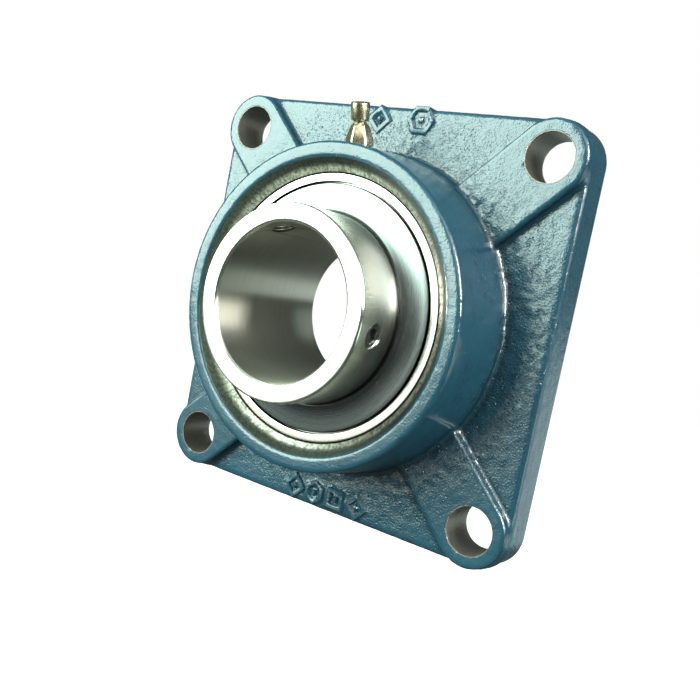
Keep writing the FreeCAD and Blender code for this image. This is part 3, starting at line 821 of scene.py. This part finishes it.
def brass():
    s = Shader("nipple_brass", Metallic=1.0, Roughness=0.24)
    cloud = s.noise(1.6, 3)
    fine = s.noise(0.25, 3, 0.6)
    colour = s.mix(s.fit(cloud, 0.35, 0.7), *BRASS)
    s.drive(
        Base_Color=s.mix(s.fit(fine, 0.55, 0.8, 0, 0.5), colour, BRASS_TARNISH),
        Roughness=s.fit(fine, 0.3, 0.7, 0.2, 0.36, smooth=False),
        Normal=s.bump(fine, 0.02, 0.8),
    )
    return s.material


def dark_screw():
    s = Shader("black_screw_steel", Metallic=0.9)
    cloud = s.noise(1.2, 3)
    fine = s.noise(0.3, 3, 0.6)
    s.drive(
        Base_Color=s.mix(s.fit(cloud, 0.3, 0.7), *SCREW),
        Roughness=s.fit(fine, 0.3, 0.7, 0.25, 0.45, smooth=False),
        Normal=s.bump(fine, 0.015, 0.8),
    )
    return s.material


def rubber():
    s = Shader("seal_rubber", Roughness=0.6)
    fine = s.noise(0.4, 4, 0.6)
    s.drive(
        Base_Color=s.mix(s.noise(3, 3), *RUBBER),
        Roughness=s.fit(fine, 0.3, 0.7, 0.5, 0.75, smooth=False),
        Normal=s.bump(fine, 0.02, 0.7),
    )
    return s.material


# ---------------------------------------------------------------- the casting
HOUSING_CELL = 1.0
GRID_MARGIN = 1.6
BACK_MARGIN = 1.3
SEAT_BACK, SEAT_FRONT = 15.2, 47.3
# How far out from the skin the painted crease shade looks for more casting, in millimetres.
CREASE_SHADE_REACH = 5.0
HUB_FOOT_REACH = 26
FACE_LEVEL = 0.05


def ramp(values):
    return np.clip(values, 0, 1)


def bare_iron(cuts, radius, depth):
    """1 where the machining took the enamel off, 0 where it stayed."""
    seat_zone = np.minimum.reduce(
        [THROAT_RADIUS + 2.8 - radius, SEAT_FRONT - depth, depth - SEAT_BACK]
    )
    # The bare zones reach a few tenths of a millimetre past their cuts.
    hole_wall = 0.35 - cuts["bolts"]
    back_face = 0.15 - depth
    machined = [seat_zone, hole_wall, back_face, 0.25 - cuts["spot"], 0.3 - cuts["nipple_hole"]]
    return ramp(0.5 + np.maximum.reduce(machined))


def near_hub(radius):
    return ramp(1 - (radius - HUB_BASE_RADIUS) / HUB_FOOT_REACH)


def enamel_grain(facing, radius, depth):
    """How much of the cast sand shows through the enamel: most on the plate round the hub."""
    foot = near_hub(radius)
    on_plate = ramp(1 - np.abs(depth - PLATE_THICKNESS) / 1.5) * ramp(facing)
    on_boss = ramp(1 - np.abs(depth - ARM_HEIGHT)) * ramp(facing)
    on_rim = ramp((depth - HUB_HEIGHT + 3) / 2.5)
    on_edge = ramp(1 - facing * 2) * (radius > HUB_BASE_RADIUS + 3) * (depth > 1)
    grain = 0.16 + on_plate * (0.3 + 0.7 * foot) + on_boss * (0.12 + 0.6 * foot)
    return ramp(grain + on_rim * 0.16 + on_edge * 0.35)


def cast_relief(p, facing, grain):
    """How far lumps and sand lift each point of the cast skin, in millimetres."""
    radius, depth = np.hypot(p[:, 0], p[:, 1]), p[:, 2]
    lumps = Lattice(11)(p, 9.0) * 0.035 + Lattice(12)(p, 4.2) * 0.02
    sand = Lattice(13)(p, 1.8) * 0.11
    low_down = ramp(facing) * (depth < ARM_HEIGHT + 1.5)
    outside = ramp((radius - THROAT_RADIUS + 1) / 2) * (depth > 0.4)
    return (lumps + sand * (0.2 + grain + 1.5 * near_hub(radius) ** 2 * low_down)) * outside


def flatten_back(mesh):
    """Merges the small faces of the mounting face and shades it flat, and the rest smooth."""
    work = bmesh.new()
    work.from_mesh(mesh)
    flat = [v for v in work.verts if -v.co.y < FACE_LEVEL * MM]
    inside = set(flat)
    rims = [e for e in work.edges if e.verts[0] in inside and e.verts[1] in inside]
    bmesh.ops.dissolve_limit(
        work, angle_limit=math.radians(1), use_dissolve_boundaries=False, verts=flat, edges=rims
    )
    work.to_mesh(mesh)
    work.free()
    mesh.shade_smooth()
    mesh.set_sharp_from_angle(angle=math.radians(42))
    for face in mesh.polygons:
        if all(-mesh.vertices[i].co.y < FACE_LEVEL * MM for i in face.vertices):
            face.use_smooth = False


def make_housing():
    edge = FLANGE_HALF + GRID_MARGIN
    low, high = (-edge, -edge, -BACK_MARGIN), (edge, edge, HUB_HEIGHT + GRID_MARGIN)
    p, faces = contour(housing_field, low, high, HOUSING_CELL)
    p[:, 2] = np.maximum(p[:, 2], 0.0)
    normal = gradient(housing_field, p, step=0.15)
    x, up, depth = p.T
    radius = np.hypot(x, up)
    facing = normal[:, 2]

    cuts = hollow(x, up, depth)
    bare = bare_iron(cuts, radius, depth)
    grain = enamel_grain(facing, radius, depth) * (1 - bare)
    off_back = depth >= FACE_LEVEL
    # Painted shade: the closer other casting stands off the surface, the darker the enamel is
    # painted there.
    clearance = housing_field(p + normal * CREASE_SHADE_REACH)
    crease_shade = ramp(1 - clearance / CREASE_SHADE_REACH) * off_back
    wall = ramp(1 - np.abs(cuts["bolts"]) / 0.8) * off_back
    relief = cast_relief(p, facing, grain) * (1 - bare)

    obj = new_mesh("housing_casting", to_frame(p + normal * relief[:, None]), faces)
    looks = {"bare": bare, "grain": grain, "crease_shade": crease_shade, "wall": wall}
    for name, values in looks.items():
        keep_attribute(obj.data, name, values)
    flatten_back(obj.data)
    dress(obj, "flange", "housing", enamel_on_iron())


# ---------------------------------------------------------------- the insert
RING_SEGMENTS = 288
SCREW_SEGMENTS = 48
CUTTER_SEGMENTS = 40
GROOVE_STEPS = 15
SPHERE_STEPS = 25


def make_outer_ring(material):
    half, front = OUTER_RING_HALF, BALL_PLANE + OUTER_RING_HALF
    back = BALL_PLANE - half
    tip = math.degrees(math.asin(half / INSERT_RADIUS)) - 0.5
    mouth = math.degrees(math.acos((SHOULDER_RADIUS - PITCH_RADIUS) / GROOVE_RADIUS))
    face_edge = SEAT_EDGE - 0.5
    recess = SEAL_RECESS_DEPTH
    outline = [(face_edge, front, 0.25), (SEAL_RECESS_RADIUS, front, 0.35)]
    outline += [(SEAL_RECESS_RADIUS, front - recess, 0.3), (SHOULDER_RADIUS, front - recess, 0.2)]
    outline += arc(GROOVE_RADIUS, PITCH_RADIUS, BALL_PLANE, mouth, -mouth, GROOVE_STEPS)
    outline += [(SHOULDER_RADIUS, back + recess, 0.2), (SEAL_RECESS_RADIUS, back + recess, 0.3)]
    outline += [(SEAL_RECESS_RADIUS, back, 0.35), (face_edge, back, 0.25)]
    outline += arc(INSERT_RADIUS, 0, BALL_PLANE, -tip, tip, SPHERE_STEPS)
    obj = lathe("outer_ring_turned", arc_corners(outline), RING_SEGMENTS)
    dress(obj, "outer_race", "outer_ring", material)


def make_inner_ring(material):
    mouth = math.degrees(math.acos((PITCH_RADIUS - RING_RADIUS) / GROOVE_RADIUS))
    back_edge, front_edge = 0.7, 0.6
    outline = [
        (SHAFT_RADIUS, RING_BACK + RING_CHAMFER, 0.3),
        (SHAFT_RADIUS + RING_CHAMFER, RING_BACK, 0.3),
        (RING_RADIUS - back_edge, RING_BACK, 0.3),
        (RING_RADIUS, RING_BACK + back_edge, 0.3),
    ]
    groove = (180 + mouth, 180 - mouth, GROOVE_STEPS)
    outline += arc(GROOVE_RADIUS, PITCH_RADIUS, BALL_PLANE, *groove)
    outline += [
        (RING_RADIUS, RING_FRONT - front_edge, 0.35),
        (RING_RADIUS - front_edge, RING_FRONT, 0.35),
        (SHAFT_RADIUS + RING_CHAMFER, RING_FRONT, 0.35),
        (SHAFT_RADIUS, RING_FRONT - RING_CHAMFER, 0.35),
    ]
    obj = lathe("inner_ring_turned", arc_corners(outline), RING_SEGMENTS)
    hole_low, hole_high = SHAFT_RADIUS - 6, RING_RADIUS + 4.5
    hole = thread_outline(SCREW_RADIUS + THREAD_PLAY, hole_low, hole_high, THREAD_PITCH, 0.45)
    sink = [
        (0.0, RING_RADIUS - 0.5),
        (SCREW_RADIUS - 0.2, RING_RADIUS - 0.5),
        (SCREW_RADIUS + 0.15, RING_RADIUS + 0.3),
        (0.0, RING_RADIUS + 0.5),
    ]
    cutters = []
    for angle in SCREW_ANGLES.values():
        place = along_radius(angle, SCREW_DEPTH)
        cutters.append(capped_lathe("thread_cutter", hole, CUTTER_SEGMENTS, place))
        cutters.append(capped_lathe("sink_cutter", sink, CUTTER_SEGMENTS, place))
    subtract(obj, cutters)
    dress(obj, "shaft_race", "inner_ring", material)


def make_slinger(name, side, material):
    """Dished flinger: a collar on the ring, a fine groove and a face curved back to its rim."""
    r = RING_RADIUS
    # (radius, distance from the ball plane, rounding), from the collar's foot round to its back
    outline = [
        (r, 11.2, 0),
        (r, 15.9, 0.1),
        (r + 0.5, 15.9, 0.2),
        (r + 0.6, 15.2, 0.1),
        (r + 1.0, 15.5, 0.3),
        (41.0, 14.87, 3.0),
        (43.5, 14.35, 3.0),
        (46.0, 13.93, 3.0),
        (48.85, 13.53, 0.3),
        (49.2, 13.1, 0.25),
        (49.2, 11.6, 0.1),
        (48.2, 11.6, 0.1),
        (48.2, 12.5, 0.3),
        (43.0, 13.5, 1.0),
        (r + 1.9, 13.7, 0.3),
        (r + 1.0, 13.5, 0.3),
        (r + 1.0, 11.2, 0.1),
    ]
    placed = [(radius, BALL_PLANE + side * offset, turn) for radius, offset, turn in outline]
    obj = lathe(name + "_pressed", arc_corners(placed), RING_SEGMENTS, smooth_angle=50)
    dress(obj, "shaft_race", name, material)


def make_set_screw(name, material):
    """Set screw with a hexagon socket, its thread as plain grooves all round."""
    place = along_radius(SCREW_ANGLES[name], SCREW_DEPTH)
    foot = SHAFT_RADIUS + SCREW_REST
    top = foot + SCREW_LENGTH
    r = SCREW_RADIUS - THREAD_PLAY
    outline = [(0.0, foot), (r - 1.9, foot), (r - 0.9, foot + 0.7)]
    outline += thread_outline(r, foot + 0.9, top - 0.75, THREAD_PITCH, 0.4)[1:-1]
    outline += [(r - 0.75, top), (0.0, top)]
    obj = capped_lathe(name + "_turned", outline, SCREW_SEGMENTS, place)
    bottom, over = top - SOCKET_DEPTH, top + 0.4
    corner = SOCKET_ACROSS / math.sqrt(3)
    flats = [(0.0, bottom), (0.3, bottom), (corner, bottom + 0.9)]
    flats += [(corner, top - 0.35), (corner + 0.8, over), (0.0, over)]
    socket = capped_lathe("socket_cutter", flats, 6, place)
    subtract(obj, [socket], smooth_angle=30)
    body = {"setscrew_a": "screw_a", "setscrew_b": "screw_b"}[name]
    dress(obj, body, name, material)


def on_nipple(points):
    """Local depth runs up the nipple axis from its spot face."""
    p = np.asarray(points, float)
    c, s = math.cos(NIPPLE_TILT), math.sin(NIPPLE_TILT)
    up = NIPPLE_SEAT + p[..., 2] * c - p[..., 1] * s
    depth = NIPPLE_DEPTH + p[..., 2] * s + p[..., 1] * c
    return to_frame(np.stack([p[..., 0], up, depth], axis=-1))


def make_nipple(material):
    """Grease nipple: six flats that run up as a tapering spire, a waist and a grip head."""
    # (radius, height, how hexagonal: 0 is round and 1 has six flats)
    rings = [
        (1.3, -8.0, 0), (3.0, -8.0, 0), (3.0, 0.0, 0), (4.7, 0.0, 1), (5.05, 0.35, 1),
        (4.85, 3.0, 1), (4.1, 5.4, 1), (3.2, 7.9, 1), (2.7, 8.5, 0.5), (2.5, 9.0, 0),
        (2.5, 9.5, 0), (3.3, 10.0, 0), (3.6, 10.2, 0), (3.68, 10.5, 0), (3.68, 16.1, 0),
        (3.6, 16.45, 0), (3.3, 16.7, 0), (2.3, 16.8, 0), (0.85, 16.8, 0), (0.85, 15.3, 0),
        (1.3, 15.3, 0),
    ]
    segments = 60
    angles = np.arange(segments) * 2 * math.pi / segments
    wedge = (angles + math.pi / 6) % (math.pi / 3) - math.pi / 6
    worn_corner = 1.11
    hexagon = np.minimum(1 / np.cos(wedge), worn_corner)
    vertices = []
    for k in range(segments):
        for r, height, flat in rings:
            reach = r * (1 + flat * (hexagon[k] - 1))
            vertices.append((reach * math.cos(angles[k]), reach * math.sin(angles[k]), height))
    faces = ring_faces(segments, len(rings))
    obj = new_mesh("grease_nipple_turned", on_nipple(vertices), faces, smooth_angle=24)
    dress(obj, "flange", "grease_nipple_body", material)


# ---------------------------------------------------------------- light
def softbox(name, azimuth, elevation, distance, width, height, radiance, colour):
    """Area light aimed at the bearing; azimuth 0 is in front of the nose, positive to the left."""
    a, e = math.radians(azimuth), math.radians(elevation)
    out = Vector((-math.sin(a) * math.cos(e), -math.cos(a) * math.cos(e), math.sin(e)))
    data = bpy.data.lights.new(name, "AREA")
    data.shape = "RECTANGLE"
    data.size, data.size_y = width, height
    data.energy = radiance * math.pi * width * height
    data.color = colour
    lamp = bpy.data.objects.new(name, data)
    lamp.location = out * distance
    lamp.rotation_euler = (-out).to_track_quat("-Z", "Y").to_euler()
    lamp.visible_camera = False
    bpy.context.scene.collection.objects.link(lamp)
    return lamp


# Radiance of the studio: in front, high up, behind, on the table, below and straight down; and
# the tint of its light.  The camera itself sees plain white.
WORLD_FRONT = 0.14
WORLD_HIGH = 0.5
WORLD_BACK = 0.11
WORLD_TABLE = 1.0
WORLD_LOW = 0.10
WORLD_BOUNCE = 1.5
WORLD_TINT = rgb(0.86, 1.0, 0.96)
WHITE = rgb(1.0, 1.0, 1.0)


def make_world():
    world = bpy.data.worlds.new("studio")
    bpy.context.scene.world = world
    world.use_nodes = True
    tree = world.node_tree
    tree.nodes.clear()

    def node(kind, inputs, **settings):
        made = tree.nodes.new("ShaderNode" + kind)
        for key, value in settings.items():
            setattr(made, key, value)
        for key, value in inputs.items():
            if isinstance(value, bpy.types.NodeSocket):
                tree.links.new(value, made.inputs[key])
            else:
                made.inputs[key].default_value = value
        return made.outputs

    def fit(value, low, high, a, b):
        inputs = {0: value, 1: low, 2: high, 3: a, 4: b}
        return node("MapRange", inputs, interpolation_type="SMOOTHSTEP")[0]

    # way is a direction of length 1: y runs away from the nose of the hub and z runs up.
    way = node("SeparateXYZ", {0: node("TexCoord", {})["Generated"]})
    behind = fit(way[1], -0.2, 0.05, 0.0, 1.0)
    high = fit(way[2], 0.2, 0.65, WORLD_FRONT, WORLD_HIGH)
    bounce = fit(way[2], -0.6, -0.5, WORLD_BOUNCE, WORLD_LOW)
    front = fit(way[2], -0.12, -0.02, 0.0, 1.0)
    front = node("Mix", {0: front, 2: bounce, 3: 1.0}, data_type="FLOAT")[0]
    front = node("Math", {0: front, 1: high}, operation="MINIMUM")[0]
    table = fit(way[2], -0.45, -0.3, WORLD_LOW, WORLD_TABLE)
    back = fit(way[2], -0.07, -0.02, 1.0, 0.0)
    back = node("Mix", {0: back, 2: WORLD_BACK, 3: table}, data_type="FLOAT")[0]
    glow = node("Mix", {0: behind, 2: front, 3: back}, data_type="FLOAT")[0]
    seen = node("LightPath", {})["Is Camera Ray"]
    strength = node("Mix", {0: seen, 2: glow, 3: 1.0}, data_type="FLOAT")[0]
    tint = node("Mix", {0: seen, 6: WORLD_TINT, 7: WHITE}, data_type="RGBA")[2]
    shade = node("Background", {0: tint, 1: strength})
    output = tree.nodes.new("ShaderNodeOutputWorld")
    tree.links.new(shade[0], output.inputs[0])


FLOOR_LEVEL = -0.42
FLOOR_NEAR, FLOOR_FAR, FLOOR_SIDE = -0.2, 4.0, 3.0


def make_floor():
    """Pale table under and behind the part that neither lights it nor shows in it."""
    mesh = bpy.data.meshes.new("floor")
    left_to_right = [(-FLOOR_SIDE, FLOOR_NEAR), (FLOOR_SIDE, FLOOR_NEAR)]
    right_to_left = [(FLOOR_SIDE, FLOOR_FAR), (-FLOOR_SIDE, FLOOR_FAR)]
    corners = [(x, y, FLOOR_LEVEL) for x, y in left_to_right + right_to_left]
    mesh.from_pydata(corners, [], [(0, 1, 2, 3)])
    floor = bpy.data.objects.new("floor", mesh)
    bpy.context.scene.collection.objects.link(floor)
    s = Shader("pale_floor", Roughness=0.9)
    s.surface.inputs["Base Color"].default_value = rgb(0.9, 0.9, 0.9)
    s.surface.inputs["Emission Color"].default_value = WHITE
    s.surface.inputs["Emission Strength"].default_value = 0.9
    mesh.materials.append(s.material)
    floor.visible_glossy = False
    floor.visible_diffuse = False


# name, azimuth, elevation, distance, width, height, radiance, colour
SOFTBOXES = [
    ("key", 38, 17.5, 1.3, 1.12, 0.98, 11.5, (0.80, 1.0, 0.88)),
    ("low_card", 30, -11, 1.2, 0.69, 0.25, 1.4, (1.0, 1.0, 0.90)),
    ("right", -38, 34, 1.2, 0.95, 0.88, 2.9, (1.0, 1.0, 0.94)),
    ("kicker", -70, 25, 1.2, 0.17, 0.60, 100.0, (1.0, 1.0, 0.92)),
    ("low_side", -96, -12, 1.2, 0.6, 0.3, 2.2, (0.80, 1.0, 0.95)),
    ("side", -92, 29, 1.2, 0.6, 0.86, 7.8, (0.80, 1.0, 1.0)),
]


def light_scene():
    make_world()
    lamps = {row[0]: softbox(*row) for row in SOFTBOXES}
    # The kicker lights only glossy reflections, for glints in polished steel.
    lamps["kicker"].visible_diffuse = False
    make_floor()


# ---------------------------------------------------------------- the whole object
def dress_inner_parts(balls, pressed, seals):
    """Gives their metals and rubber to the pieces that are shown as they were built in CAD."""
    materials = {"nipple_check_ball": balls, "nipple_spring": pressed, "cage_rivets": pressed}
    for side in ("front", "rear"):
        materials[f"cage_{side}"] = pressed
        materials[f"seal_plate_{side}"] = pressed
        materials[f"seal_lip_{side}"] = seals
    for number in range(1, 11):
        materials[f"ball_{number:02d}"] = balls
    for node, material in materials.items():
        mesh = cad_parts[node].data
        mesh.materials.clear()
        mesh.materials.append(material)


def main():
    # Radii where the ring and slinger faces get painted shade lines at their edges.
    outer_gap_shade = (SEAL_RECESS_RADIUS + 0.2, 52.95)
    slinger_gap_shade = (RING_RADIUS + 0.5, 48.8)
    bright = steel("outer_ring_steel", OUTER_RING, 0.22, shaded_gaps=outer_gap_shade)
    sheet = steel(
        "slinger_steel", SLINGER, 0.27, 0.2, 0.0006, 0.1, shaded_gaps=slinger_gap_shade, root_shade=0.8
    )
    pressed = steel("pressed_steel", PRESSED, 0.35)
    ball_steel = steel("ball_steel", BALLS, 0.08, 0.3, 0.0005)
    screw_steel = dark_screw()

    make_housing()
    make_outer_ring(bright)
    make_inner_ring(ring_steel())
    make_slinger("slinger_front", 1, sheet)
    make_slinger("slinger_rear", -1, sheet)
    for name in SCREW_ANGLES:
        make_set_screw(name, screw_steel)
    make_nipple(brass())
    dress_inner_parts(ball_steel, pressed, rubber())

    make_camera()
    light_scene()
    bpy.context.scene.view_settings.view_transform = "Standard"


main()
